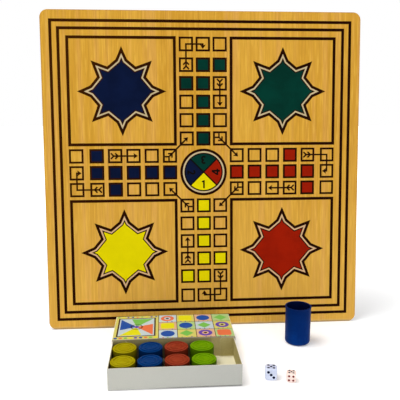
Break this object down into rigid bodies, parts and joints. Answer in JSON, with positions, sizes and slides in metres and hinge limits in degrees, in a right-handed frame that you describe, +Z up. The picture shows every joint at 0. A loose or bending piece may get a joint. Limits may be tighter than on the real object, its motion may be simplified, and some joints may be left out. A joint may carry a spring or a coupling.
{
  "type": "ludo board",
  "caption": "Upright ludo board with a printed wood-grain field, and its playing set: a slide-out card box of stacked counters, a shaker cup and dice.",
  "frame": {"origin": "middle of the underside of the whole set's bounding box, on the table", "axes": "+Z up, +Y away from the viewer towards the board and the way it leans, +X to the right as the printed field is faced"},
  "size_m": [0.5, 0.2426, 0.4984],
  "materials": {
    "hardboard": "matte",
    "wood_print": "satin",
    "ink_black": "satin",
    "ink_green": "satin",
    "ink_blue": "satin",
    "ink_yellow": "satin",
    "ink_red": "satin",
    "sleeve_card": "satin",
    "tray_card": "matte",
    "counter_yellow": "satin",
    "counter_blue": "satin",
    "counter_red": "satin",
    "counter_green": "satin",
    "cup_plastic": "satin",
    "die_blue_white": "gloss",
    "die_pink_white": "gloss"
  },
  "bodies": {
    "board": {"board_core": "hardboard", "face_sheet": "wood_print", "print_black": "ink_black", "print_green": "ink_green", "print_blue": "ink_blue", "print_yellow": "ink_yellow", "print_red": "ink_red"},
    "sleeve": {"box_sleeve": "sleeve_card"},
    "tray": {"box_tray": "tray_card"},
    "yellow_counter_1": {"counter_yellow_1": "counter_yellow"},
    "yellow_counter_2": {"counter_yellow_2": "counter_yellow"},
    "yellow_counter_3": {"counter_yellow_3": "counter_yellow"},
    "yellow_counter_4": {"counter_yellow_4": "counter_yellow"},
    "blue_counter_1": {"counter_blue_1": "counter_blue"},
    "blue_counter_2": {"counter_blue_2": "counter_blue"},
    "blue_counter_3": {"counter_blue_3": "counter_blue"},
    "blue_counter_4": {"counter_blue_4": "counter_blue"},
    "red_counter_1": {"counter_red_1": "counter_red"},
    "red_counter_2": {"counter_red_2": "counter_red"},
    "red_counter_3": {"counter_red_3": "counter_red"},
    "red_counter_4": {"counter_red_4": "counter_red"},
    "green_counter_1": {"counter_green_1": "counter_green"},
    "green_counter_2": {"counter_green_2": "counter_green"},
    "green_counter_3": {"counter_green_3": "counter_green"},
    "green_counter_4": {"counter_green_4": "counter_green"},
    "cup": {"shaker_cup": "cup_plastic"},
    "first_die": {"die_1": "die_blue_white"},
    "second_die": {"die_2": "die_pink_white"}
  },
  "joints": [
    {"name": "sleeve_lift", "type": "slide", "parent": "board", "child": "sleeve", "axis": [0, 0, 1], "range_m": [0, 0.06]},
    {"name": "tray_slide", "type": "slide", "parent": "sleeve", "child": "tray", "axis": [0, -1, 0], "range_m": [-0.081, 0.012]},
    {"name": "yellow_1_lift", "type": "slide", "parent": "tray", "child": "yellow_counter_1", "axis": [0, 0, 1], "range_m": [0, 0.04]},
    {"name": "yellow_2_lift", "type": "slide", "parent": "yellow_counter_1", "child": "yellow_counter_2", "axis": [0, 0, 1], "range_m": [0, 0.04]},
    {"name": "yellow_3_lift", "type": "slide", "parent": "tray", "child": "yellow_counter_3", "axis": [0, 0, 1], "range_m": [0, 0.04]},
    {"name": "yellow_4_lift", "type": "slide", "parent": "yellow_counter_3", "child": "yellow_counter_4", "axis": [0, 0, 1], "range_m": [0, 0.04]},
    {"name": "blue_1_lift", "type": "slide", "parent": "tray", "child": "blue_counter_1", "axis": [0, 0, 1], "range_m": [0, 0.04]},
    {"name": "blue_2_lift", "type": "slide", "parent": "blue_counter_1", "child": "blue_counter_2", "axis": [0, 0, 1], "range_m": [0, 0.04]},
    {"name": "blue_3_lift", "type": "slide", "parent": "tray", "child": "blue_counter_3", "axis": [0, 0, 1], "range_m": [0, 0.04]},
    {"name": "blue_4_lift", "type": "slide", "parent": "blue_counter_3", "child": "blue_counter_4", "axis": [0, 0, 1], "range_m": [0, 0.04]},
    {"name": "red_1_lift", "type": "slide", "parent": "tray", "child": "red_counter_1", "axis": [0, 0, 1], "range_m": [0, 0.04]},
    {"name": "red_2_lift", "type": "slide", "parent": "red_counter_1", "child": "red_counter_2", "axis": [0, 0, 1], "range_m": [0, 0.04]},
    {"name": "red_3_lift", "type": "slide", "parent": "tray", "child": "red_counter_3", "axis": [0, 0, 1], "range_m": [0, 0.04]},
    {"name": "red_4_lift", "type": "slide", "parent": "red_counter_3", "child": "red_counter_4", "axis": [0, 0, 1], "range_m": [0, 0.04]},
    {"name": "green_1_lift", "type": "slide", "parent": "tray", "child": "green_counter_1", "axis": [0, 0, 1], "range_m": [0, 0.04]},
    {"name": "green_2_lift", "type": "slide", "parent": "green_counter_1", "child": "green_counter_2", "axis": [0, 0, 1], "range_m": [0, 0.04]},
    {"name": "green_3_lift", "type": "slide", "parent": "tray", "child": "green_counter_3", "axis": [0, 0, 1], "range_m": [0, 0.04]},
    {"name": "green_4_lift", "type": "slide", "parent": "green_counter_3", "child": "green_counter_4", "axis": [0, 0, 1], "range_m": [0, 0.04]},
    {"name": "cup_lift", "type": "slide", "parent": "board", "child": "cup", "axis": [0, 0, 1], "range_m": [0, 0.08]},
    {"name": "first_die_lift", "type": "slide", "parent": "board", "child": "first_die", "axis": [0, 0, 1], "range_m": [0, 0.04]},
    {"name": "second_die_lift", "type": "slide", "parent": "board", "child": "second_die", "axis": [0, 0, 1], "range_m": [0, 0.04]}
  ]
}
